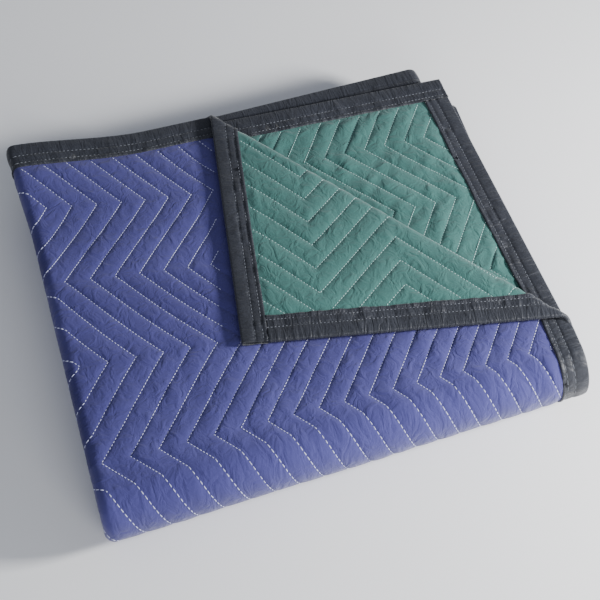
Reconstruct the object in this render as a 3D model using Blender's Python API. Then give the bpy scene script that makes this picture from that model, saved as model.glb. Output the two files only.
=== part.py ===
# Moving blanket: one quilted cloth with a blue face, a green back and a dark binding.
# It is folded in half, then in thirds, then in half again over a round front fold, which
# leaves a stack of twelve layers, and its top back corner is turned over to show the back.
# Metres, +Z up. X runs along the front fold, and the front faces -Y.
#
# The cloth is laid out flat first: u runs from the free side edge of the top third,
# v from the upper end edge, and w through the thickness, with the blue face up.
# Each piece is built there as prisms over triangles, and one fold map lays it in the stack.

import math

import bpy
import numpy as np
from mathutils import Vector
from mathutils.geometry import delaunay_2d_cdt

# The cloth, laid flat
cloth_width = 1.800
cloth_length = 2.032

# Where it is folded
top_third = 0.614
middle_third = 0.602
upper_length = 0.520
corner_along_end = 0.346
corner_along_side = 0.430

# Its thickness, as distances from the middle of a layer
ridge = 0.0031
plain = 0.0029
stitched = 0.0015
bound = 0.0017
parting = 0.0002

# The binding: a strip folded over the edge, clear of the panels inside it
binding_width = 0.033
binding_outside = 0.0029
binding_inside = 0.0020
clearance = 0.0003
panel_inset = 0.0009
nose = 0.0021
nose_outside = 0.0014
nose_inside = 0.0007
ramp = 0.006

# Radii to the middle of what each fold bends, and straight steps round half a turn
half_radius = 0.00345
third_radius = 0.0069
front_radius = 0.0207
corner_radius = 0.00345
half_steps = 4
third_steps = 6
front_steps = 9
corner_steps = 4
plain_cells = 3

# The stitched zigzag: line spacing, then the reach and the length of one slanted run
line_spacing = 0.0316
line_phase = 0.0221
zigzag_reach = 0.0970
zigzag_run = 0.121
upper_first_turn = 0.104
lower_first_turn = -0.028
runs_before = 1
runs_after = 6
lines_before = 8

# How the stack is out of true. The front fold runs askew by a slope, and the lower half is
# pulled straight again. The height is a share of the true one, with a slope to the right and
# to the back. At the right, the second layer's back edge swings forward and inward, and the
# thirds below it swing back and further inward.
front_skew = 0.052
lower_straighten = 1.5
height_share = 1.040
height_to_right = -0.100
height_to_back = 0.015
second_swing = -0.015
second_inward = 0.029
lower_swing = 0.020
lower_inward = 0.040

fabric_roughness = 0.85
blue = (0.065, 0.085, 0.34, 1.0)
green = (0.085, 0.26, 0.235, 1.0)
charcoal = (0.016, 0.017, 0.021, 1.0)

half_length = cloth_length / 2
half_arc = math.pi * half_radius
third_arc = math.pi * third_radius
front_arc = math.pi * front_radius
corner_arc = math.pi * corner_radius
left_fold = top_third
right_fold = top_third + middle_third
front_start = upper_length - front_arc / 2
crease_slope = math.hypot(1 / corner_along_end, 1 / corner_along_side)
quilted_edge = binding_width + ramp

# Small distances and shares for building the table of triangles
second_margin = 0.02
front_seen = 0.8
inside_margin = 2e-5
table_scale = 1000.0
table_tolerance = 1e-3
least_area = 1e-12
tolerance = 1e-6


def turn(along, out, start, radius, side, steps):
    """Run straight to start, round half a circle in straight steps, and back.

    Side 1 bends towards +out and side -1 towards -out. Between two steps a point lies on
    the straight line between them, so nested layers stay parallel.
    """
    rise = out * side
    arc = math.pi * radius
    travel = np.clip((along - start) / arc, 0.0, 1.0) * steps
    step = np.minimum(np.floor(travel), steps - 1)
    share = travel - step
    first = step * math.pi / steps
    second = (step + 1) * math.pi / steps
    across = (1 - share) * np.sin(first) + share * np.sin(second)
    down = (1 - share) * np.cos(first) + share * np.cos(second)
    place = start + (radius - rise) * across
    height = radius - (radius - rise) * down
    after = along > start + arc
    place = np.where(after, 2 * start + arc - along, place)
    height = np.where(after, 2 * radius - rise, height)
    before = along < start
    place = np.where(before, along, place)
    height = np.where(before, rise, height)
    return place, height * side


def past_crease(u, v):
    """Distance past the corner's crease, towards the turned corner."""
    return (1 - u / corner_along_end - v / corner_along_side) / crease_slope


def turn_corner(u, v, w):
    """Turn the upper corner over its crease, onto the blue face."""
    before = past_crease(u, v)
    after, w = turn(before, w, -corner_arc / 2, corner_radius, 1, corner_steps)
    u = u - (after - before) / (corner_along_end * crease_slope)
    v = v - (after - before) / (corner_along_side * crease_slope)
    return u, v, w


def place_across(u):
    """Place along the front fold, from the middle, of a point this far across the cloth."""
    side = u - 2 * np.maximum(u - left_fold, 0.0) + 2 * np.maximum(u - right_fold, 0.0)
    return top_third / 2 - side


def fold(u, v, w):
    """Place in the stack of a point of the flat cloth."""
    u, v, w = turn_corner(u, v, w)
    below = np.clip((u - left_fold) / third_arc + 0.5, 0.0, 1.0)
    second = np.where(v > half_length, 1.0, 0.0) * (1 - below)

    run, rise = turn(v, w, half_length - half_arc / 2, half_radius, -1, half_steps)
    askew = front_skew * place_across(u)
    rise = rise + half_radius
    side, rise = turn(u, rise, right_fold - third_arc / 2, third_radius, 1, third_steps)
    side, rise = turn(side, rise, left_fold - third_arc / 2, third_radius, -1, third_steps)
    rise = rise + 2 * third_radius
    run = run + askew
    depth, height = turn(run, rise, front_start, front_radius, -1, front_steps)

    x = top_third / 2 - side
    from_left = np.clip(0.5 + x / top_third, 0.0, 1.0)
    on_top = np.clip(1 - run / front_start, 0.0, 1.0)
    swing = second_swing * second + lower_swing * below
    y = upper_length / 2 - depth + front_skew * x + swing * on_top * from_left
    under = np.clip((run - front_start - front_arc) / front_start, 0.0, 1.0)
    y = y - lower_straighten * askew * under
    inward = second_inward * second + lower_inward * below
    x = x - inward * on_top * from_left
    z = height + 2 * front_radius + 2 * third_radius + half_radius + binding_outside
    return x, y, z * (height_share + height_to_right * x + height_to_back * y)


def zigzag(v):
    """Swing of a stitch line to the left, from 0 to 1 and back for each two runs."""
    lower = v > half_length
    rows = np.where(lower, cloth_length - v - lower_first_turn, v - upper_first_turn)
    return 1 - np.abs(np.mod(rows / zigzag_run, 2.0) - 1)


def stitch_phase(u, v):
    """Count of line spacings from the first stitch line at this place."""
    return (u - line_phase - zigzag_reach * zigzag(v)) / line_spacing


def clip(start, end, sides):
    """Part of a segment inside all half planes (a, b, c), where a*u + b*v <= c."""
    low, high = 0.0, 1.0
    step = (end[0] - start[0], end[1] - start[1])
    for a, b, c in sides:
        rate = a * step[0] + b * step[1]
        room = c - a * start[0] - b * start[1]
        if abs(rate) < tolerance:
            if room < 0:
                return None
        elif rate > 0:
            high = min(high, room / rate)
        else:
            low = max(low, room / rate)
    if high - low < tolerance:
        return None
    ends = [(start[0] + step[0] * t, start[1] + step[1] * t) for t in (low, high)]
    return ends[0], ends[1]


def stitch_segments(sides, first_turn, from_lower_end):
    """Stitch lines, and the ridges halfway between them, inside the half planes."""
    turns = [first_turn + zigzag_run * k for k in range(-runs_before, runs_after + 1)]
    segments = []
    lines = int((top_third + third_arc + 2 * zigzag_reach) / line_spacing * 2)
    for line in range(-lines_before, lines):
        left = line_phase + line_spacing * line / 2
        for k in range(len(turns) - 1):
            ends = []
            for j in (k, k + 1):
                v = cloth_length - turns[j] if from_lower_end else turns[j]
                ends.append((left + zigzag_reach * ((j + runs_before) % 2), v))
            part = clip(ends[0], ends[1], sides)
            if part:
                segments.append(part)
    return segments


def rows(start, arc, steps):
    """Places where a fold changes direction."""
    return [start + arc * k / steps for k in range(steps + 1)]


def fold_segments():
    """Lines across the cloth where any fold changes direction, and along its edges."""
    reach = nose + clearance
    turns = [-reach, left_fold, right_fold, cloth_width + reach]
    across = rows(left_fold - third_arc / 2, third_arc, third_steps)
    across += rows(right_fold - third_arc / 2, third_arc, third_steps)
    for third in (0.0, left_fold, right_fold):
        across += [third + top_third * k / plain_cells for k in range(1, plain_cells)]
    along = rows(half_length - half_arc / 2, half_arc, half_steps)
    steps_in = [-reach, -clearance, panel_inset, binding_width, quilted_edge]
    across += steps_in + [cloth_width - u for u in steps_in]
    steps_in.append(binding_width + clearance)
    along += steps_in + [cloth_length - v for v in steps_in]
    segments = [((u, -reach), (u, cloth_length + reach)) for u in across]
    segments += [((-reach, v), (cloth_width + reach, v)) for v in along]
    askew = rows(front_start, front_arc, front_steps)
    askew += [front_start * k / plain_cells for k in range(1, plain_cells)]
    askew += [front_start * (1 + k / plain_cells) + front_arc for k in range(1, plain_cells)]
    for run in askew:
        points = [(u, run - front_skew * place_across(u)) for u in turns]
        points = [points, [(u, cloth_length - v) for u, v in points]]
        segments += [(line[k], line[k + 1]) for line in points for k in range(3)]
    box = [(-1, 0, reach), (0, -1, reach)]
    for past in rows(-corner_arc / 2, corner_arc, corner_steps):
        level = 1 - past * crease_slope
        start = (level * corner_along_end + corner_along_end, -corner_along_side)
        end = (-corner_along_end, level * corner_along_side + corner_along_side)
        segments.append(clip(start, end, box))
    return segments


def crease_sides(past, towards_corner):
    """Half plane on one side of a line parallel to the crease."""
    sign = 1 if towards_corner else -1
    level = 1 - past * crease_slope
    return [(sign / corner_along_end, sign / corner_along_side, sign * level)]


def face_region():
    """Where the blue face shows: the top and the front, short of the turned corner."""
    box = [(-1, 0, -quilted_edge), (0, -1, -quilted_edge)]
    box += [(1, 0, left_fold + third_arc / 2), (0, 1, front_start + front_arc * front_seen)]
    return box + crease_sides(-corner_arc / 2, False)


def corner_region():
    """Where the green back shows on the turned corner."""
    box = [(-1, 0, -quilted_edge), (0, -1, -quilted_edge)]
    return box + crease_sides(corner_arc / 2, True)


def second_region():
    """Where the green back shows on the second layer, beside the turned corner."""
    box = [(-1, 0, -quilted_edge), (0, 1, cloth_length - quilted_edge)]
    level = 1 + second_margin * crease_slope
    slope = 1 / corner_along_side
    return box + [(1 / corner_along_end, -slope, level - cloth_length * slope)]


def inside(points, sides):
    """Points clear inside all half planes."""
    result = np.ones(len(points), dtype=bool)
    for a, b, c in sides:
        margin = inside_margin * math.hypot(a, b)
        result &= a * points[:, 0] + b * points[:, 1] < c - margin
    return result


def triangulate(segments):
    """Triangles over the cloth that keep every segment as an edge."""
    verts = [Vector((p[0] * table_scale, p[1] * table_scale)) for s in segments for p in s]
    edges = [(2 * k, 2 * k + 1) for k in range(len(segments))]
    result = delaunay_2d_cdt(verts, edges, [], 0, table_tolerance)
    points = np.array([tuple(v) for v in result[0]]) / table_scale
    triangles = np.array([tuple(f) for f in result[2]])
    a, b, c = (points[triangles[:, k]] for k in range(3))
    area = (b[:, 0] - a[:, 0]) * (c[:, 1] - a[:, 1]) - (b[:, 1] - a[:, 1]) * (c[:, 0] - a[:, 0])
    triangles[area < 0] = triangles[area < 0][:, ::-1]
    return points, triangles[np.abs(area) > least_area]


def edge_distance(points):
    """Distance in from the nearest edge of the cloth, negative past it."""
    u, v = points[:, 0], points[:, 1]
    return np.minimum(np.minimum(u, cloth_width - u), np.minimum(v, cloth_length - v))


def panel_height(points, regions):
    """Half thickness of the cloth: pinched under the binding, ridged where it shows."""
    across = edge_distance(points)
    height = np.interp(across, [binding_width, quilted_edge], [bound, plain])
    phase = stitch_phase(points[:, 0], points[:, 1])
    from_line = 2 * np.abs(phase - np.round(phase))
    ridged = stitched + (ridge - stitched) * from_line
    for sides in regions:
        height = np.where(inside(points, sides), ridged, height)
    return height


def binding_heights(points):
    """Outer and inner half thickness of the binding, drawn in over its nose."""
    across = edge_distance(points)
    steps = [-nose - clearance, -clearance]
    outer = np.interp(across, steps, [nose_outside, binding_outside])
    inner = np.interp(across, steps, [nose_inside, binding_inside])
    return outer, inner


def prisms(points, triangles, filled, heights):
    """Closed skin of the filled prisms between the heights."""
    count = len(points)
    quads = []
    caps = []
    for level in range(filled.shape[1]):
        full = filled[:, level]
        over = filled[:, level + 1] if level + 1 < filled.shape[1] else np.zeros_like(full)
        under = filled[:, level - 1] if level else np.zeros_like(full)
        caps.append(triangles[full & ~over] + count * (level + 1))
        caps.append(triangles[full & ~under][:, ::-1] + count * level)
        here = triangles[full]
        edges = np.concatenate([here[:, [0, 1]], here[:, [1, 2]], here[:, [2, 0]]])
        keys = edges[:, 0] * count + edges[:, 1]
        border = edges[~np.isin(keys, edges[:, 1] * count + edges[:, 0])]
        low = border + count * level
        quads.append(np.stack([low[:, 0], low[:, 1], low[:, 1] + count, low[:, 0] + count], axis=1))
    u = np.tile(points[:, 0], heights.shape[1])
    v = np.tile(points[:, 1], heights.shape[1])
    x, y, z = fold(u, v, heights.T.ravel())
    faces = [list(map(int, f)) for group in caps + quads for f in group]
    used = sorted({k for f in faces for k in f})
    number = {k: n for n, k in enumerate(used)}
    verts = np.stack([x, y, z], axis=1)[used]
    return verts, [[number[k] for k in f] for f in faces]


def fabric(name, colour, roughness):
    """Plain cloth material."""
    material = bpy.data.materials.new(name)
    material.use_nodes = True
    shader = material.node_tree.nodes["Principled BSDF"]
    shader.inputs["Base Color"].default_value = colour
    shader.inputs["Roughness"].default_value = roughness
    shader.inputs["Metallic"].default_value = 0.0
    return material


def add_piece(collection, name, skin, centre, material):
    """One named object from a skin, with the stack's box centred on the origin."""
    mesh = bpy.data.meshes.new(name)
    mesh.from_pydata((skin[0] - centre).tolist(), [], skin[1])
    mesh.validate()
    mesh.update()
    mesh.materials.append(material)
    piece = bpy.data.objects.new(name, mesh)
    collection.objects.link(piece)


def panel(regions, segments, towards_face):
    """Blue or green panel: one layer of prisms on its side of the parting."""
    points, triangles = triangulate(segments)
    middle = points[triangles].mean(axis=1)
    filled = (edge_distance(middle) > panel_inset)[:, None]
    height = panel_height(points, regions)
    part = np.full(len(points), parting)
    levels = [part, height] if towards_face else [-height, -part]
    return prisms(points, triangles, filled, np.stack(levels, axis=1))


def binding(segments, covers, closed):
    """Binding strip: two plates over the cloth, joined by a nose round its edge."""
    points, triangles = triangulate(segments)
    middle = points[triangles].mean(axis=1)
    covered = covers(middle[:, 0], middle[:, 1])
    outside = closed(middle[:, 0], middle[:, 1])
    filled = np.stack([covered, covered & outside, covered], axis=1)
    outer, inner = binding_heights(points)
    return prisms(points, triangles, filled, np.stack([-outer, -inner, inner, outer], axis=1))


def past_edge(u, v):
    """Outside the cloth, where the binding closes round it."""
    return edge_distance(np.stack([u, v], axis=1)) < -clearance


def strips():
    """The four binding strips, with where each one lies on the cloth."""
    clear = binding_width + clearance

    def between_ends(v):
        return (v > clear) & (v < cloth_length - clear)

    return {
        "end_binding_upper": lambda u, v: v < binding_width,
        "end_binding_lower": lambda u, v: v > cloth_length - binding_width,
        "side_binding_outer": lambda u, v: (u < binding_width) & between_ends(v),
        "side_binding_inner": lambda u, v: (u > cloth_width - binding_width) & between_ends(v),
    }


def build():
    """Panels and bindings in a collection of their own."""
    for old in list(bpy.data.objects):
        bpy.data.objects.remove(old, do_unlink=True)
    collection = bpy.data.collections.new("moving_blanket")
    bpy.context.scene.collection.children.link(collection)

    folds = fold_segments()
    face = folds + stitch_segments(face_region(), upper_first_turn, False)
    back = folds + stitch_segments(corner_region(), upper_first_turn, False)
    back += stitch_segments(second_region(), lower_first_turn, True)

    regions = [corner_region(), second_region()]
    skins = {
        "face_panel": panel([face_region()], face, True),
        "back_panel": panel(regions, back, False),
    }
    for name, covers in strips().items():
        skins[name] = binding(folds, covers, past_edge)
    colours = {"face_panel": blue, "back_panel": green}
    everything = np.concatenate([skin[0] for skin in skins.values()])
    centre = (everything.min(axis=0) + everything.max(axis=0)) / 2
    centre[2] = everything[:, 2].min()
    for name, skin in skins.items():
        material = fabric(name + "_cloth", colours.get(name, charcoal), fabric_roughness)
        add_piece(collection, name, skin, centre, material)


build()
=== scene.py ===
import math

import bmesh
import bpy
import numpy as np
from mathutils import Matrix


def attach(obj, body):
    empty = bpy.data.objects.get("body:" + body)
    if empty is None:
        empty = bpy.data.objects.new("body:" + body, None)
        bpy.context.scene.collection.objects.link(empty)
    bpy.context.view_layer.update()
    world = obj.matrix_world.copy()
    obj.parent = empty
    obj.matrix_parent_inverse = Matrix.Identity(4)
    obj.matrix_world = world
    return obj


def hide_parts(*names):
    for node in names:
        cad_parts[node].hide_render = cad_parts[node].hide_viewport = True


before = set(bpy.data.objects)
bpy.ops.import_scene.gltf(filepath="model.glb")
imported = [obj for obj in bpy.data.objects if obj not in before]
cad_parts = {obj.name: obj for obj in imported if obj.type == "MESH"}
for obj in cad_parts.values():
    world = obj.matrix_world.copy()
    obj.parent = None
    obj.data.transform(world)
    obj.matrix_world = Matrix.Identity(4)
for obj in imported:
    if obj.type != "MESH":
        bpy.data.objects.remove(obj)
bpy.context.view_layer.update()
print("frame:", len(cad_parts), "nodes")

# Camera and light

photoCamera = {
    "focalPixels": 1579.0,
    "elevation": 58.0,
    "azimuth": 16.2,
    "place": (-0.298, -1.058, 1.761),
}
studio = {
    "worldColour": (0.80, 0.86, 1.0),
    "worldStrength": 0.34,
    "keyPlace": (1.45, -0.55, 0.72),
    "keySize": 0.30,
    "keyPower": 60.0,
    "fillPlace": (0.1, -2.0, 0.9),
    "fillSize": 1.2,
    "fillPower": 22.0,
    "floorColour": (0.98, 0.98, 0.98),
    "floorSize": 14.0,
}


def makeCamera():
    data = bpy.data.cameras.new("photoCamera")
    data.sensor_width = 36.0
    data.lens = photoCamera["focalPixels"] * data.sensor_width / 600
    camera = bpy.data.objects.new("photoCamera", data)
    camera.location = photoCamera["place"]
    tilt = math.radians(90 - photoCamera["elevation"])
    camera.rotation_euler = (tilt, 0, -math.radians(photoCamera["azimuth"]))
    bpy.context.scene.collection.objects.link(camera)
    bpy.context.scene.camera = camera


def makeLight(name, place, size, power):
    # A square area light that looks at the middle of the stack
    data = bpy.data.lights.new(name, "AREA")
    data.size = size
    data.energy = power
    light = bpy.data.objects.new(name, data)
    light.location = place
    aim = np.array([0.0, 0.0, 0.05]) - np.array(place)
    light.rotation_euler = (
        math.atan2(math.hypot(aim[0], aim[1]), -aim[2]), 0, math.atan2(aim[1], aim[0]) - math.pi / 2
    )
    bpy.context.scene.collection.objects.link(light)


def makeStudio():
    world = bpy.data.worlds.new("studio")
    bpy.context.scene.world = world
    world.use_nodes = True
    background = world.node_tree.nodes["Background"]
    background.inputs["Color"].default_value = (*studio["worldColour"], 1)
    background.inputs["Strength"].default_value = studio["worldStrength"]
    makeLight("keyLight", studio["keyPlace"], studio["keySize"], studio["keyPower"])
    makeLight("fillLight", studio["fillPlace"], studio["fillSize"], studio["fillPower"])
    half = studio["floorSize"] / 2
    mesh = bpy.data.meshes.new("floor")
    corners = [(-half, -half, 0), (half, -half, 0), (half, half, 0), (-half, half, 0)]
    mesh.from_pydata(corners, [], [(0, 1, 2, 3)])
    floor = bpy.data.objects.new("floor", mesh)
    bpy.context.scene.collection.objects.link(floor)
    material = bpy.data.materials.new("floorPaper")
    material.use_nodes = True
    shader = material.node_tree.nodes["Principled BSDF"]
    shader.inputs["Base Color"].default_value = (*studio["floorColour"], 1)
    shader.inputs["Roughness"].default_value = 0.9
    mesh.materials.append(material)


makeCamera()
makeStudio()
print("camera and studio ready")

# The fold map

fold = {
    "width": 1.800,
    "length": 2.032,
    "topThird": 0.614,
    "middleThird": 0.602,
    "upperLength": 0.520,
    "cornerAlongEnd": 0.346,
    "cornerAlongSide": 0.430,
    "cornerSlide": (-0.082, 0.070),
    "halfRadius": 0.00345,
    "thirdRadius": 0.0069,
    "frontRadius": 0.0207,
    "cornerRadius": 0.0050,
    "frontSkew": 0.052,
    "lowerStraighten": 1.5,
    "secondSwing": -0.015,
    "secondInward": 0.029,
    "lowerSwing": 0.020,
    "lowerInward": 0.040,
    "tipShift": (-0.010, 0.016, 0.011),
    "heightFrontLeft": 1.03,
    "heightFrontRight": 1.04,
    "heightBackLeft": 1.085,
    "heightBackRight": 0.97,
    "bindingOutside": 0.0029,
    "centre": (0.00017, -0.00058, -0.00020),
}
halfLength = fold["length"] / 2
halfArc = math.pi * fold["halfRadius"]
thirdArc = math.pi * fold["thirdRadius"]
frontArc = math.pi * fold["frontRadius"]
cornerArc = math.pi * fold["cornerRadius"]
leftFold = fold["topThird"]
rightFold = fold["topThird"] + fold["middleThird"]
frontStart = fold["upperLength"] - frontArc / 2
creaseSlope = math.hypot(1 / fold["cornerAlongEnd"], 1 / fold["cornerAlongSide"])


def smoothStep(value, low, high):
    # 0 below low, 1 above high, and 3t^2 - 2t^3 between them
    share = np.clip((value - low) / (high - low), 0, 1)
    return share * share * (3 - 2 * share)


def softNoise(a, b, size, seed):
    # Seeded values from -1 to 1 on a square net of this size, blended smoothly between corners
    net = np.random.default_rng(seed).uniform(-1, 1, (128, 128))
    p, q = a / size, b / size
    i, j = np.floor(p).astype(int), np.floor(q).astype(int)
    s, t = p - i, q - j
    s, t = s * s * (3 - 2 * s), t * t * (3 - 2 * t)
    i, j = i % 127, j % 127
    near = net[i, j] * (1 - s) + net[i + 1, j] * s
    far = net[i, j + 1] * (1 - s) + net[i + 1, j + 1] * s
    return near * (1 - t) + far * t


def halfTurn(along, out, start, radius, side):
    # Straight to start, then (start + (r - out) sin a, r - (r - out) cos a) round half a circle, and back
    rise = out * side
    angle = np.clip((along - start) / radius, 0, math.pi)
    place = start + (radius - rise) * np.sin(angle)
    height = radius - (radius - rise) * np.cos(angle)
    place = place + np.minimum(along - start, 0) - np.maximum(along - start - math.pi * radius, 0)
    return place, height * side


def pastCrease(u, v):
    # Distance past the turned corner's crease, towards the corner of the cloth
    return (1 - u / fold["cornerAlongEnd"] - v / fold["cornerAlongSide"]) / creaseSlope


def foldCloth(u, v, w):
    # Corner turn, pair fold, two third folds and front fold, one after another, then the easing
    past = pastCrease(u, v)
    after, w = halfTurn(past, w, -cornerArc / 2, fold["cornerRadius"], 1)
    turned = np.maximum(past, 0)
    u = u - (after - past) / (fold["cornerAlongEnd"] * creaseSlope) + fold["cornerSlide"][0] * turned
    v = v - (after - past) / (fold["cornerAlongSide"] * creaseSlope) + fold["cornerSlide"][1] * turned
    below = np.clip((u - leftFold) / thirdArc + 0.5, 0, 1)
    second = np.where(v > halfLength, 1.0, 0.0) * (1 - below)

    run, rise = halfTurn(v, w, halfLength - halfArc / 2, fold["halfRadius"], -1)
    rise = rise + fold["halfRadius"]
    side, rise = halfTurn(u, rise, rightFold - thirdArc / 2, fold["thirdRadius"], 1)
    side, rise = halfTurn(side, rise, leftFold - thirdArc / 2, fold["thirdRadius"], -1)
    rise = rise + 2 * fold["thirdRadius"]
    x = fold["topThird"] / 2 - side
    askew = fold["frontSkew"] * x
    run = run + askew
    depth, height = halfTurn(run, rise, frontStart, fold["frontRadius"], -1)

    fromLeft = np.clip(0.5 + x / fold["topThird"], 0, 1)
    onTop = np.clip(1 - run / frontStart, 0, 1)
    swing = fold["secondSwing"] * second + fold["lowerSwing"] * below
    y = fold["upperLength"] / 2 - depth + askew + swing * onTop * fromLeft
    under = np.clip((run - frontStart - frontArc) / frontStart, 0, 1)
    y = y - fold["lowerStraighten"] * askew * under
    inward = fold["secondInward"] * second + fold["lowerInward"] * below
    x = x - inward * onTop * fromLeft
    lift = 2 * fold["frontRadius"] + 2 * fold["thirdRadius"] + fold["halfRadius"] + fold["bindingOutside"]
    z = height + lift
    toBack = np.clip(0.5 + y / fold["upperLength"], 0, 1)
    left = fold["heightFrontLeft"] * (1 - toBack) + fold["heightBackLeft"] * toBack
    right = fold["heightFrontRight"] * (1 - toBack) + fold["heightBackRight"] * toBack
    z = z * (left * (1 - fromLeft) + right * fromLeft)
    points = np.stack([x, y, z], axis=-1) - np.array(fold["centre"])
    # The back left corner stands up and out a little, more the higher the layer
    tip = smoothStep(-x, 0.13, 0.31) * smoothStep(y, 0.12, 0.26) * np.clip(z / 0.09, 0, 1) ** 2
    points = points + tip[..., None] * np.array(fold["tipShift"])
    points[..., 2] = np.maximum(points[..., 2], 0)
    return points


# Stitch lines and the relief between them

quilt = {
    "spacing": 0.0316,
    "phase": 0.0290,
    "reach": 0.0970,
    "run": 0.121,
    "upperFirst": 0.104,
    "lowerFirst": -0.028,
    "valley": 0.0019,
    "ridge": 0.0036,
    "plain": 0.0030,
    "bound": 0.0017,
    "parting": 0.0002,
    "inset": 0.0009,
    "roundness": 3.0,
}
bindingWidth = 0.033
bindingRamp = 0.006
faceEnd = 0.60  # the patterned block of the blue face ends here, under the front fold
foldMargin = 0.030  # fine rows reach this far past a fold on both sides
wideStep = 0.04  # between lines where the cloth is hidden and flat
frontStep = 0.006  # round the front fold
halfFoldStep = 0.0025
thirdFoldStep = 0.0027


def zigzag(v):
    # Triangle wave from 0 to 1 along the cloth, mirrored about the pair fold
    rows = np.where(v > halfLength, fold["length"] - v - quilt["lowerFirst"], v - quilt["upperFirst"])
    return 1 - np.abs(np.mod(rows / quilt["run"], 2) - 1)


def edgeDistance(u, v):
    return np.minimum(np.minimum(u, fold["width"] - u), np.minimum(v, fold["length"] - v))


def puff(p):
    # 0 on a stitch line and 1 halfway to the next: 1 - (1 - 2t)^n
    phase = (p - quilt["phase"]) / quilt["spacing"]
    fromLine = np.abs(phase - np.round(phase))
    return 1 - np.abs(1 - 2 * fromLine) ** quilt["roundness"]


def layFace(p, b, limits):
    # A place of the true pattern on the blue face. Its spacing widens to the left, and the rows
    # near the back run askew: u = 0.6 - 1.11 t + 0.21 t^2, where t = 0.6 - (p + reach * zigzag)
    t = 0.6 - p - quilt["reach"] * zigzag(b)
    nearBack = 1 - smoothStep(b, 0.230, 0.345)
    u = np.clip(0.6 - 1.1095 * t + 0.2103 * t * t + 0.10 * nearBack * np.clip(t - 0.1, -0.12, 0.12), *limits)
    hump = smoothStep(b, 0.104, 0.225) * (1 - 0.75 * smoothStep(b, 0.346, 0.467))
    hump = hump * (1 - smoothStep(b, 0.52, faceEnd))
    tilt = 0.134 * (1 - smoothStep(b, 0.250, 0.467)) * smoothStep(b, 0.0, 0.06)
    return u, b - 0.008 * hump + tilt * np.clip(0.5 - u, -0.12, 0.10)


def layCorner(p, b, limits):
    # On the green back of the turned corner the pattern is a little wider
    u = np.clip(1.104 * (p + quilt["reach"] * zigzag(b)) - 0.0081, *limits)
    return u, b + 0.006 * (1 - smoothStep(b, 0.104, 0.225)) * smoothStep(b, 0.0, 0.06)


def layBeside(p, b, limits):
    # On the green back beside it the pattern is a little tighter
    u = np.clip(0.911 * (p + quilt["reach"] * zigzag(b)) + 0.0005, *limits)
    fromEnd = fold["length"] - b
    return u, b + 0.010 * smoothStep(fromEnd, 0.093, 0.214) * (1 - smoothStep(fromEnd, 0.30, 0.46))


def layPlain(p, b, limits):
    return np.clip(p + quilt["reach"] * zigzag(b), *limits), b


def underFlap(u, v):
    # Mirror a point over the crease: it is covered where its mirror image is on the turned corner
    past = pastCrease(u, v)
    mirrorU = u + 2 * past / (fold["cornerAlongEnd"] * creaseSlope)
    mirrorV = v + 2 * past / (fold["cornerAlongSide"] * creaseSlope)
    return smoothStep(np.minimum(mirrorU, mirrorV), -0.010, 0.004) * smoothStep(-past, -0.004, 0.0)


def faceShown(u, v):
    # 1 where the blue face is the outer surface of the top and front of the stack
    top = smoothStep(-v, -0.585, -0.570) * smoothStep(-u, -0.632, -0.618)
    return top * (1 - underFlap(u, v)) * smoothStep(-pastCrease(u, v), -0.004, 0.010)


def backShown(u, v):
    # 1 where the green back is the outer surface: the turned corner and the layer beside it
    flap = smoothStep(pastCrease(u, v), -0.004, 0.012)
    mirrorV = fold["length"] - v
    beside = smoothStep(pastCrease(u + 0.012, mirrorV), 0.004, 0.020)
    return np.maximum(flap, beside)


def panelHeight(u, v, shown, bump):
    # Half thickness: pinched under the binding, low where hidden, full puffs where it shows,
    # and drawn flat where the cloth is stretched round a bend
    low = quilt["valley"] + (quilt["plain"] - quilt["valley"]) * bump
    high = quilt["valley"] + (quilt["ridge"] - quilt["valley"]) * bump
    high = high * (1 + 0.10 * softNoise(u, v, 0.045, 3)) + wrinkles(u, v) * np.sqrt(bump)
    height = low + (high - low) * shown
    front = smoothStep(v, frontStart - 0.02, frontStart + 0.01)
    front = front * smoothStep(-v, -frontStart - frontArc - 0.02, -0.55)
    side = 1 - smoothStep(np.abs(u - leftFold), 0.010, 0.024)
    stretched = np.maximum(0.55 * front, side)
    height = height + (0.0028 + 0.0004 * bump - height) * stretched
    pinch = smoothStep(edgeDistance(u, v), bindingWidth - 0.002, bindingWidth + 2 * bindingRamp)
    return quilt["bound"] + (height - quilt["bound"]) * pinch


def wrinkles(u, v):
    # Fine pulls: noise stretched along slanting lines, strongest near the front bend
    total = 0
    for turn, size, seed in ((0.9, 0.011, 5), (0.35, 0.014, 8), (1.35, 0.017, 13)):
        across = u * math.cos(turn) + v * math.sin(turn)
        along = v * math.cos(turn) - u * math.sin(turn)
        total = total + softNoise(across, along * 0.28, size, seed)
    nearFront = smoothStep(v, 0.30, 0.47)
    return total * (0.00034 + 0.00060 * nearFront)


print("fold map ready")


# Meshes

def addPiece(name, verts, faces, flat, material):
    # One mesh object at the origin, welded, with the flat cloth's metres as its UV map
    mesh = bpy.data.meshes.new(name)
    mesh.from_pydata(verts.tolist(), [], faces)
    layer = mesh.uv_layers.new(name="flat")
    corners = np.empty(len(mesh.loops), dtype=np.int32)
    mesh.loops.foreach_get("vertex_index", corners)
    layer.data.foreach_set("uv", flat[corners, :2].ravel().astype(np.float32))
    work = bmesh.new()
    work.from_mesh(mesh)
    bmesh.ops.remove_doubles(work, verts=work.verts, dist=2e-6)
    work.to_mesh(mesh)
    work.free()
    mesh.polygons.foreach_set("use_smooth", np.ones(len(mesh.polygons), dtype=bool))
    mesh.materials.append(material)
    piece = bpy.data.objects.new(name, mesh)
    bpy.context.scene.collection.objects.link(piece)
    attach(piece, "root")
    return piece


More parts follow.
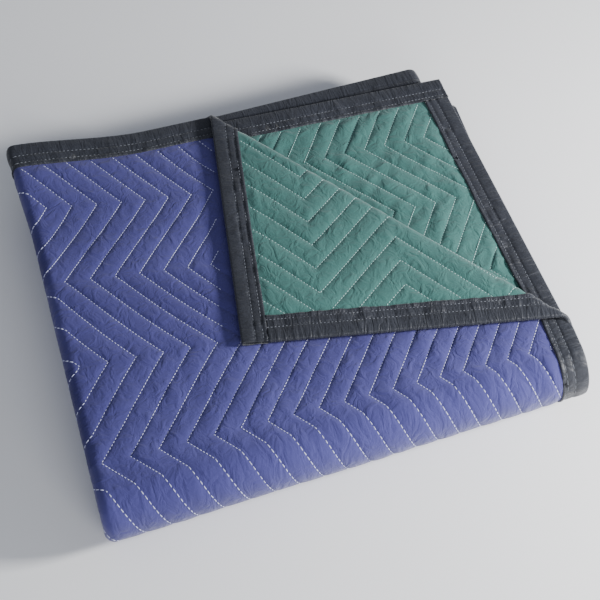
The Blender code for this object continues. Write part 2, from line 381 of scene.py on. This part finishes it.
def quadFaces(columns, rows, start, flip):
    # Quads of a grid whose points run along rows first
    index = np.arange(columns * rows).reshape(columns, rows) + start
    quads = np.stack([index[:-1, :-1], index[1:, :-1], index[1:, 1:], index[:-1, 1:]], axis=-1).reshape(-1, 4)
    return (quads[:, ::-1] if flip else quads).tolist()


def panelBlock(uRange, vRange, columnLines, rowLines, side, shown, stride, lay):
    # Outer surface at w = side * height and inner one at the parting, on every stride-th line,
    # with walls round it. With a lay, the lines follow the stitches and are kept in range.
    p, b = np.meshgrid(columnLines, rowLines, indexing="ij")
    u, v = lay(p, b, uRange) if lay else (p, b)
    bump = np.where((u > uRange[0]) & (u < uRange[1]), puff(p), 1.0) if lay else np.ones_like(p)
    outer = np.stack([u, v, side * panelHeight(u, v, shown(u, v), bump)], axis=-1)
    inner = outer[::stride, ::stride].copy()
    inner[..., 2] = side * quilt["parting"]
    columns, rows = outer.shape[:2]
    innerColumns, innerRows = inner.shape[:2]
    start = columns * rows
    faces = quadFaces(columns, rows, 0, side < 0)
    faces += quadFaces(innerColumns, innerRows, start, side > 0)
    top = np.arange(start).reshape(columns, rows)
    low = np.arange(innerColumns * innerRows).reshape(innerColumns, innerRows) + start
    rims = [
        (top[:, 0], low[:, 0], 1), (top[:, -1], low[:, -1], -1),
        (top[0], low[0], -1), (top[-1], low[-1], 1),
    ]
    for upper, lower, way in rims:
        for k in range(len(lower) - 1):
            wall = [int(lower[k]), int(lower[k + 1])]
            wall += upper[k * stride:(k + 1) * stride + 1][::-1].tolist()
            faces.append(wall if way * side > 0 else wall[::-1])
    points = np.concatenate([outer.reshape(-1, 3), inner.reshape(-1, 3)])
    return points, faces


def stitchLines(low, high, fine):
    # Columns along the stitches, closer together beside each stitch line
    shares = np.array([0, 0.035, 0.085, 0.16, 0.26, 0.38] if fine else [0, 0.06, 0.20])
    shares = np.concatenate([shares, [0.5], 1 - shares[:0:-1]])
    first = math.floor((low - quilt["reach"] - quilt["phase"]) / quilt["spacing"])
    last = math.ceil((high - quilt["phase"]) / quilt["spacing"])
    lines = (np.arange(first, last)[:, None] + shares[None, :]).ravel() * quilt["spacing"] + quilt["phase"]
    return np.append(lines, last * quilt["spacing"] + quilt["phase"])


def turnLines(low, high, cells):
    # Rows through every turn of the zigzag, with this many cells in each run
    offset = quilt["upperFirst"] if low < halfLength - 0.1 else fold["length"] - quilt["lowerFirst"]
    first = math.floor((low - offset) / quilt["run"])
    last = math.ceil((high - offset) / quilt["run"])
    lines = offset + quilt["run"] * np.arange(first * cells, last * cells + 1) / cells
    keep = lines[(lines > low + 1e-4) & (lines < high - 1e-4)]
    return np.concatenate([[low], keep, [high]])


def evenLines(*parts):
    # Lines at these steps between these places
    lines = [parts[0][0]]
    for low, high, step in parts:
        count = max(1, int(round((high - low) / step)))
        lines += list(np.linspace(low, high, count + 1)[1:])
    return np.array(lines)


def fitStride(lines, stride):
    # Repeat the last line until whole strides fit
    extra = (-(len(lines) - 1)) % stride
    return np.concatenate([lines, np.repeat(lines[-1], extra)])


def joinBlocks(blocks):
    # One list of points and faces from several blocks
    points, faces, start = [], [], 0
    for blockPoints, blockFaces in blocks:
        points.append(blockPoints)
        faces += [[k + start for k in face] for face in blockFaces]
        start += len(blockPoints)
    return np.concatenate(points), faces


def block(
    uRange, vRange, side, shown, lay=layPlain, cells=None, fine=True, columns=None, rows=None, stride=3
):
    # A block with stitch-following lines, or with the lines that are given
    if columns is not None:
        lay = None
    margin = 0 if lay in (layPlain, None) else 0.05
    columnLines = stitchLines(uRange[0] - margin, uRange[1] + margin, fine) if columns is None else columns
    rowLines = turnLines(*vRange, cells) if rows is None else rows
    return panelBlock(
        uRange, vRange, fitStride(columnLines, stride), fitStride(rowLines, stride), side, shown, stride, lay
    )


def frontRows(low, high):
    # Hidden layers: wide steps, closer round the front fold and the pair fold
    fronts = (frontStart - 0.02, frontStart + frontArc + 0.02)
    return evenLines((low, fronts[0], wideStep), (*fronts, frontStep), (fronts[1], high, wideStep))


def makePanels():
    inset = quilt["inset"]
    right = fold["width"] - inset
    bottom = fold["length"] - inset
    hidden = lambda u, v: np.zeros_like(u)
    half = (halfLength - foldMargin, halfLength + foldMargin)
    left = (leftFold - foldMargin, leftFold + foldMargin)
    rightSide = (rightFold - foldMargin, rightFold + foldMargin)
    lowerRows = fold["length"] - frontRows(inset, fold["length"] - half[1])[::-1]
    foldRows = evenLines((*half, halfFoldStep))
    blue = [
        block((inset, left[1]), (inset, faceEnd), 1, faceShown, lay=layFace, cells=38),
        block(left, (faceEnd, half[0]), 1, hidden, cells=20, fine=False),
        block(left, (half[1], bottom), 1, hidden, cells=20, fine=False),
        block((inset, right), half, 1, hidden, fine=False, rows=foldRows, stride=2),
        block(rightSide, (inset, half[0]), 1, hidden, cells=16, fine=False),
        block(rightSide, (half[1], bottom), 1, hidden, cells=16, fine=False),
    ]
    wide = lambda low, high: evenLines((low, high, wideStep))
    for uRange, vRange, rows in (
        ((inset, left[0]), (faceEnd, half[0]), evenLines((faceEnd, half[0], wideStep))),
        ((inset, left[0]), (half[1], bottom), lowerRows),
        ((left[1], rightSide[0]), (inset, half[0]), frontRows(inset, half[0])),
        ((left[1], rightSide[0]), (half[1], bottom), lowerRows),
        ((rightSide[1], right), (inset, half[0]), frontRows(inset, half[0])),
        ((rightSide[1], right), (half[1], bottom), lowerRows),
    ):
        blue.append(block(uRange, vRange, 1, hidden, columns=wide(*uRange), rows=rows, stride=1))
    points, faces = joinBlocks(blue)
    bluePanel = addPiece("facePanel", foldCloth(*points.T), faces, points, blueCloth)
    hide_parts("face_panel")

    # The green back: fine where the corner turns and beside it
    flapEnd, flapSide = 0.40, 0.46
    besideTop = fold["length"] - 0.47
    arcs = lambda low, high: evenLines(
        (low, left[0], wideStep), (*left, thirdFoldStep), (left[1], rightSide[0], wideStep),
        (*rightSide, thirdFoldStep), (rightSide[1], high, wideStep),
    )
    green = [
        block((inset, flapEnd), (inset, flapSide), -1, backShown, lay=layCorner, cells=44),
        block((inset, flapEnd), (besideTop, bottom), -1, backShown, lay=layBeside, cells=40),
        block((flapEnd, right), (inset, half[0]), -1, hidden, columns=arcs(flapEnd, right),
              rows=frontRows(inset, half[0]), stride=1),
        block((flapEnd, right), (half[1], bottom), -1, hidden, columns=arcs(flapEnd, right),
              rows=lowerRows, stride=1),
        block((inset, right), half, -1, hidden, columns=arcs(inset, right), rows=foldRows, stride=1),
        block((inset, flapEnd), (flapSide, half[0]), -1, hidden, columns=wide(inset, flapEnd),
              rows=evenLines((flapSide, 0.58, frontStep), (0.58, half[0], wideStep)), stride=1),
        block((inset, flapEnd), (half[1], besideTop), -1, hidden, columns=wide(inset, flapEnd),
              rows=evenLines((half[1], 1.44, wideStep), (1.44, besideTop, frontStep)), stride=1),
    ]
    points, faces = joinBlocks(green)
    greenPanel = addPiece("backPanel", foldCloth(*points.T), faces, points, greenCloth)
    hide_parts("back_panel")
    return bluePanel, greenPanel


# Binding: a strip folded over each edge, with gathers and two rows of stitches

binding = {
    "outside": 0.0032,
    "inside": 0.0021,
    "nose": 0.0024,
    "rows": (0.0270, 0.0165),
    "rowDepth": 0.0009,
    "gather": 0.0012,
    "lip": 0.0006,
    "stitchPitch": 0.0050,
}


def bindingProfile():
    # Closed loop of (distance from the edge, w, share of gathers): over the face, round the nose,
    # over the back, and back inside
    flats = np.array([0.0328, 0.0310, 0.0290, 0.0270, 0.0250, 0.0225, 0.0200, 0.0182, 0.0165, 0.0148,
                      0.0125, 0.0100, 0.0075, 0.0050, 0.0025])
    rows = sum(np.exp(-((flats - row) / 0.0013) ** 2) for row in binding["rows"])
    lip = np.exp(-((flats - 0.0310) / 0.0018) ** 2)
    crown = np.sin(math.pi * np.clip(flats / 0.0165, 0, 1)) * 0.0006
    height = binding["outside"] - binding["rowDepth"] * rows + binding["lip"] * lip + crown
    share = (1 - rows * 0.7) * smoothStep(flats, 0.003, 0.016)
    angle = np.linspace(0, math.pi, 9)[1:-1]
    noseD = -binding["nose"] * np.sin(angle)
    noseW = binding["outside"] * np.cos(angle)
    d = np.concatenate([[bindingWidth], flats, [0.0], noseD, [0.0], flats[::-1], [bindingWidth]])
    w = np.concatenate([[binding["inside"]], height, [binding["outside"]], noseW, [-binding["outside"]],
                        -height[::-1], [-binding["inside"]]])
    gathers = np.concatenate([[0], share, [0], 0 * angle, [0], share[::-1], [0]])
    innerD = np.array([0.016, 0.0, -0.0008, 0.0, 0.016])
    innerW = np.array([-1, -1, 0, 1, 1]) * binding["inside"]
    return np.concatenate([d, innerD]), np.concatenate([w, innerW]), np.concatenate([gathers, 0 * innerD])


def stripLines(low, high, shownRanges):
    # Places along a strip: close together where it shows, wider elsewhere
    edges = sorted({low, high, *[k for r in shownRanges for k in r]})
    parts = []
    for a, b in zip(edges[:-1], edges[1:]):
        shownHere = any(r[0] <= (a + b) / 2 <= r[1] for r in shownRanges)
        parts.append((a, b, 0.0022 if shownHere else 0.006))
    return evenLines(*parts)


def makeStrip(name, node, place, along, seed):
    # The profile carried along the edge; gathers are short ridges across the strip
    d, w, share = bindingProfile()
    s, dGrid = np.meshgrid(along, d, indexing="ij")
    wide = softNoise(s, dGrid * 0.4, 0.011, seed) + 0.6 * softNoise(s, dGrid * 0.5, 0.0055, seed + 1)
    lift = binding["gather"] * wide * share[None, :]
    sway = 0.0007 * softNoise(s, 0 * s, 0.05, seed + 2) * smoothStep(dGrid, 0.02, 0.033)
    u, v = place(s, dGrid + sway)
    wGrid = w[None, :] + lift * np.sign(w)[None, :]
    points = np.stack([u, v, wGrid], axis=-1)
    columns, rows = points.shape[:2]
    index = np.arange(columns * rows).reshape(columns, rows)
    nextRow = np.roll(index, -1, axis=1)
    quads = np.stack([index[:-1], nextRow[:-1], nextRow[1:], index[1:]], axis=-1).reshape(-1, 4).tolist()
    caps = [index[0][::-1].tolist(), index[-1].tolist()]
    flat = np.stack([s.ravel(), (dGrid + np.abs(wGrid)).ravel()], axis=-1)
    faces = quads + caps
    piece = addPiece(name, foldCloth(*points.reshape(-1, 3).T), faces, flat, darkBinding)
    fixNormals(piece)
    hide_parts(node)
    return piece


def fixNormals(piece):
    work = bmesh.new()
    work.from_mesh(piece.data)
    bmesh.ops.recalc_face_normals(work, faces=work.faces)
    work.to_mesh(piece.data)
    work.free()


def makeBindings():
    width, length, nose = fold["width"], fold["length"], binding["nose"]
    gap = bindingWidth + 0.0003
    endShown = [(-nose, 0.66), (1.18, 1.25), (width - 0.04, width + nose)]
    sideShown = [(gap, 0.62), (length - 0.60, length - gap)]
    return [
        makeStrip("endBindingUpper", "end_binding_upper", lambda s, d: (s, d),
                  stripLines(-nose, width + nose, endShown), 21),
        makeStrip("endBindingLower", "end_binding_lower", lambda s, d: (s, length - d),
                  stripLines(-nose, width + nose, endShown), 31),
        makeStrip("sideBindingOuter", "side_binding_outer", lambda s, d: (d, s),
                  stripLines(gap, length - gap, sideShown), 41),
        makeStrip("sideBindingInner", "side_binding_inner", lambda s, d: (width - d, s),
                  stripLines(gap, length - gap, sideShown), 51),
    ]


# Stitches: small spindles along every line that shows

stitch = {
    "pitch": 0.0044,
    "length": 0.0037,
    "thickness": 0.0010,
    "height": 0.0004,
}


def makeStitches(name, side, parts, material):
    # Dashes follow the lay of p = phase + n * spacing; each is a spindle of ten points
    runLength = math.hypot(quilt["reach"], quilt["run"])
    step = stitch["pitch"] * quilt["run"] / runLength
    n = np.arange(-4, 60)
    rows = np.arange(-0.05, fold["length"] + 0.05, step)
    line, b = (a.ravel() for a in np.meshgrid(n, rows, indexing="ij"))
    b = b + step * 0.37 * (line % 3)
    p = quilt["phase"] + line * quilt["spacing"]
    delta = 1e-4
    anywhere = (-1.0, 3.0)
    found = []
    for lay, keep in parts:
        u, v = lay(p, b, anywhere)
        uNext, vNext = lay(p, b + delta, anywhere)
        chosen = keep(u, v) & (edgeDistance(u, v) > bindingWidth + 0.001)
        found.append(np.stack([u, v, np.arctan2(uNext - u, vNext - v)])[:, chosen])
    u, v, turn = np.concatenate(found, axis=1)
    lift = panelHeight(u, v, faceShown(u, v) if side > 0 else backShown(u, v), np.zeros_like(u))
    points, faces = spindles(u, v, turn, side * lift, side)
    piece = addPiece(name, foldCloth(*points.T), faces, points, material)
    fixNormals(piece)
    print(name, len(u), "stitches")
    return piece


def spindles(u, v, turn, w, side):
    # One dash at each place, turned a little at random, resting on height w
    turn = turn + 0.10 * softNoise(u, v, 0.004, 77)
    length = stitch["length"] * (1 + 0.18 * softNoise(u, v, 0.006, 78)) / 2
    half = stitch["thickness"] / 2
    a = np.array([-1.0, -0.62, -0.62, -0.62, -0.62, 0.62, 0.62, 0.62, 0.62, 1.0])
    b = np.array([0, -1, 0, 1, 0, -1, 0, 1, 0, 0]) * half
    c = np.array([0, 0, 1, 0, -1, 0, 1, 0, -1, 0]) * stitch["height"] + 0.0001
    c[[0, 9]] = -0.0003
    alongV, alongU = np.cos(turn), np.sin(turn)
    pu = u[:, None] + length[:, None] * a[None, :] * alongU[:, None] + b[None, :] * alongV[:, None]
    pv = v[:, None] + length[:, None] * a[None, :] * alongV[:, None] - b[None, :] * alongU[:, None]
    pw = w[:, None] + (side + 0 * w)[:, None] * c[None, :]
    template = [
        (0, 2, 1), (0, 3, 2), (0, 4, 3), (0, 1, 4), (1, 2, 6, 5), (2, 3, 7, 6),
        (3, 4, 8, 7), (4, 1, 5, 8), (9, 5, 6), (9, 6, 7), (9, 7, 8), (9, 8, 5),
    ]
    points = np.stack([pu.ravel(), pv.ravel(), pw.ravel()], axis=-1)
    return points, [[k + 10 * m for k in face] for m in range(len(u)) for face in template]


def makeBindingStitches():
    # Dashes of grey thread along both rows of each strip, on the side that shows
    width, length = fold["width"], fold["length"]
    s = np.arange(0.004, length, binding["stitchPitch"])
    d, along = (a.ravel() for a in np.meshgrid(binding["rows"], s, indexing="ij"))
    upper = np.stack([along, d, 0 * d + math.pi / 2])[:, along < 0.63]
    outer = np.stack([d, along, 0 * d])[:, (along > bindingWidth) & (along < 0.62)]
    lower = np.stack([d, along, 0 * d])[:, (along > length - 0.60) & (along < length - bindingWidth)]
    lowerEnd = np.stack([along, length - d, 0 * d + math.pi / 2])[:, along < 0.63]
    depth = binding["outside"] - binding["rowDepth"]
    rows = [(upper, depth), (upper, -depth), (outer, depth), (outer, -depth), (lower, -depth), (lowerEnd, -depth)]
    sides = [np.vstack([part, np.full(part.shape[1], w)]) for part, w in rows]
    u, v, turn, w = np.concatenate(sides, axis=1)
    points, faces = spindles(u, v, turn, w, np.sign(w))
    piece = addPiece("bindingStitches", foldCloth(*points.T), faces, points, greyThread)
    fixNormals(piece)
    print("bindingStitches", len(u), "stitches")
    return piece


def keepTop(u, v):
    return (faceShown(u, v) > 0.2) & (v < faceEnd) & (u < leftFold + 0.014)


def keepFolds(u, v):
    leftSide = (np.abs(u - leftFold) < 0.014) & (v > faceEnd)
    rightSide = np.abs(u - rightFold) < 0.014
    return leftSide | rightSide | (np.abs(v - halfLength) < 0.012)


def keepCorner(u, v):
    return (backShown(u, v) > 0.2) & (v < halfLength)


def keepBeside(u, v):
    return (backShown(u, v) > 0.2) & (v > halfLength)


# Materials

def newGroup(name, inputs, outputs):
    # A shader node group with float inputs, and float or colour outputs
    group = bpy.data.node_groups.new(name, "ShaderNodeTree")
    for socket, kind, value in inputs:
        made = group.interface.new_socket(socket, in_out="INPUT", socket_type=kind)
        if value is not None:
            made.default_value = value
    for socket, kind in outputs:
        group.interface.new_socket(socket, in_out="OUTPUT", socket_type=kind)
    source = group.nodes.new("NodeGroupInput")
    sink = group.nodes.new("NodeGroupOutput")
    return group, source, sink


def math2(tree, operation, a, b):
    node = tree.nodes.new("ShaderNodeMath")
    node.operation = operation
    for k, value in enumerate((a, b)):
        if isinstance(value, (int, float)):
            node.inputs[k].default_value = value
        else:
            tree.links.new(value, node.inputs[k])
    return node.outputs[0]


def weaveGroup():
    # Crossed threads in the flat cloth's metres, with slubs: height and a light-dark shade
    group, source, sink = newGroup(
        "weave",
        [
            ("Vector", "NodeSocketVector", None),
            ("Thread", "NodeSocketFloat", 0.0009),
            ("Slub", "NodeSocketFloat", 0.5),
        ],
        [("Height", "NodeSocketFloat"), ("Shade", "NodeSocketFloat")],
    )
    split = group.nodes.new("ShaderNodeSeparateXYZ")
    group.links.new(source.outputs["Vector"], split.inputs[0])
    waves = []
    for axis in (0, 1):
        turns = math2(group, "DIVIDE", split.outputs[axis], source.outputs["Thread"])
        waves.append(math2(group, "SINE", math2(group, "MULTIPLY", turns, 2 * math.pi), 0.0))
    crossed = math2(group, "MULTIPLY", waves[0], waves[1])
    noise = group.nodes.new("ShaderNodeTexNoise")
    noise.inputs["Scale"].default_value = 420.0
    noise.inputs["Detail"].default_value = 4.0
    group.links.new(source.outputs["Vector"], noise.inputs["Vector"])
    slub = math2(group, "MULTIPLY", math2(group, "SUBTRACT", noise.outputs[0], 0.5), source.outputs["Slub"])
    height = math2(group, "ADD", math2(group, "MULTIPLY", crossed, 0.25), slub)
    group.links.new(height, sink.inputs["Height"])
    group.links.new(math2(group, "ADD", math2(group, "MULTIPLY", crossed, 0.35), slub), sink.inputs["Shade"])
    return group


def creaseGroup():
    # Small wandering creases, as height
    group, source, sink = newGroup(
        "creases",
        [("Vector", "NodeSocketVector", None), ("Scale", "NodeSocketFloat", 60.0)],
        [("Height", "NodeSocketFloat")],
    )
    noise = group.nodes.new("ShaderNodeTexNoise")
    noise.inputs["Detail"].default_value = 3.0
    noise.inputs["Distortion"].default_value = 0.6
    group.links.new(source.outputs["Vector"], noise.inputs["Vector"])
    group.links.new(source.outputs["Scale"], noise.inputs["Scale"])
    ridge = math2(group, "ABSOLUTE", math2(group, "SUBTRACT", noise.outputs[0], 0.5), 0.0)
    group.links.new(math2(group, "MULTIPLY", ridge, 2.0), sink.inputs["Height"])
    return group


def clothMaterial(name, settings):
    # Woven cover cloth: colour varied by patches and threads, bump from weave and creases
    material = bpy.data.materials.new(name)
    material.use_nodes = True
    tree = material.node_tree
    shader = tree.nodes["Principled BSDF"]
    coordinates = tree.nodes.new("ShaderNodeUVMap")
    coordinates.uv_map = "flat"
    weave = tree.nodes.new("ShaderNodeGroup")
    weave.node_tree = weaveTree
    weave.inputs["Thread"].default_value = settings["thread"]
    weave.inputs["Slub"].default_value = settings["slub"]
    tree.links.new(coordinates.outputs[0], weave.inputs["Vector"])
    crease = tree.nodes.new("ShaderNodeGroup")
    crease.node_tree = creaseTree
    crease.inputs["Scale"].default_value = settings["creaseScale"]
    stretch = tree.nodes.new("ShaderNodeVectorMath")
    stretch.operation = "MULTIPLY"
    stretch.inputs[1].default_value = settings["stretch"]
    tree.links.new(coordinates.outputs[0], stretch.inputs[0])
    tree.links.new(stretch.outputs[0], crease.inputs["Vector"])
    patches = tree.nodes.new("ShaderNodeTexNoise")
    patches.inputs["Scale"].default_value = 9.0
    patches.inputs["Detail"].default_value = 5.0
    tree.links.new(coordinates.outputs[0], patches.inputs["Vector"])
    blend = math2(tree, "ADD", math2(tree, "MULTIPLY", patches.outputs[0], settings["patchShare"]),
                  math2(tree, "MULTIPLY", weave.outputs["Shade"], settings["threadShare"]))
    ramp = tree.nodes.new("ShaderNodeMix")
    ramp.data_type = "RGBA"
    ramp.inputs[6].default_value = (*settings["dark"], 1)
    ramp.inputs[7].default_value = (*settings["light"], 1)
    tree.links.new(blend, ramp.inputs[0])
    tree.links.new(ramp.outputs[2], shader.inputs["Base Color"])
    height = math2(tree, "ADD", math2(tree, "MULTIPLY", weave.outputs["Height"], settings["weaveHeight"]),
                   math2(tree, "MULTIPLY", crease.outputs["Height"], settings["creaseHeight"]))
    bump = tree.nodes.new("ShaderNodeBump")
    bump.inputs["Distance"].default_value = 1.0
    tree.links.new(height, bump.inputs["Height"])
    tree.links.new(bump.outputs[0], shader.inputs["Normal"])
    shader.inputs["Roughness"].default_value = settings["roughness"]
    shader.inputs["Sheen Weight"].default_value = settings["sheen"]
    shader.inputs["Sheen Roughness"].default_value = 0.5
    shader.inputs["Specular IOR Level"].default_value = settings["specular"]
    return material


weaveTree = weaveGroup()
creaseTree = creaseGroup()
blueCloth = clothMaterial("blueCloth", {
    "dark": (0.034, 0.032, 0.150), "light": (0.074, 0.072, 0.262), "patchShare": 0.9, "threadShare": 0.5,
    "thread": 0.0009, "slub": 0.8, "creaseScale": 55.0, "weaveHeight": 0.00014, "creaseHeight": 0.0020,
    "stretch": (1.0, 1.0, 1.0), "roughness": 0.82, "sheen": 0.25, "specular": 0.25,
})
greenCloth = clothMaterial("greenCloth", {
    "dark": (0.026, 0.098, 0.088), "light": (0.066, 0.195, 0.175), "patchShare": 0.9, "threadShare": 0.5,
    "thread": 0.0009, "slub": 0.8, "creaseScale": 55.0, "weaveHeight": 0.00014, "creaseHeight": 0.0020,
    "stretch": (1.0, 1.0, 1.0), "roughness": 0.82, "sheen": 0.25, "specular": 0.25,
})
darkBinding = clothMaterial("darkBinding", {
    "dark": (0.005, 0.006, 0.010), "light": (0.046, 0.052, 0.070), "patchShare": 0.7, "threadShare": 0.8,
    "thread": 0.0008, "slub": 1.0, "creaseScale": 120.0, "weaveHeight": 0.00010, "creaseHeight": 0.0018,
    "stretch": (1.0, 0.22, 1.0), "roughness": 0.50, "sheen": 0.15, "specular": 0.35,
})
lilacThread = clothMaterial("lilacThread", {
    "dark": (0.50, 0.52, 0.76), "light": (0.78, 0.79, 0.95), "patchShare": 0.5, "threadShare": 0.4,
    "thread": 0.0006, "slub": 1.0, "creaseScale": 300.0, "weaveHeight": 0.00005, "creaseHeight": 0.0001,
    "stretch": (1.0, 1.0, 1.0), "roughness": 0.6, "sheen": 0.1, "specular": 0.3,
})
paleThread = clothMaterial("paleThread", {
    "dark": (0.32, 0.52, 0.49), "light": (0.56, 0.74, 0.70), "patchShare": 0.5, "threadShare": 0.4,
    "thread": 0.0006, "slub": 1.0, "creaseScale": 300.0, "weaveHeight": 0.00005, "creaseHeight": 0.0001,
    "stretch": (1.0, 1.0, 1.0), "roughness": 0.6, "sheen": 0.1, "specular": 0.3,
})
greyThread = clothMaterial("greyThread", {
    "dark": (0.10, 0.11, 0.13), "light": (0.26, 0.27, 0.31), "patchShare": 0.5, "threadShare": 0.4,
    "thread": 0.0006, "slub": 1.0, "creaseScale": 300.0, "weaveHeight": 0.00005, "creaseHeight": 0.0001,
    "stretch": (1.0, 1.0, 1.0), "roughness": 0.6, "sheen": 0.1, "specular": 0.3,
})
print("materials ready")

bluePanel, greenPanel = makePanels()
print("panels ready:", len(bluePanel.data.polygons), len(greenPanel.data.polygons), "faces")
bindings = makeBindings()
print("bindings ready")
faceParts = [(layFace, keepTop), (layPlain, keepFolds)]
backParts = [(layCorner, keepCorner), (layBeside, keepBeside)]
blueStitches = makeStitches("faceStitches", 1, faceParts, lilacThread)
greenStitches = makeStitches("backStitches", -1, backParts, paleThread)
bindingStitches = makeBindingStitches()

bpy.context.view_layer.update()
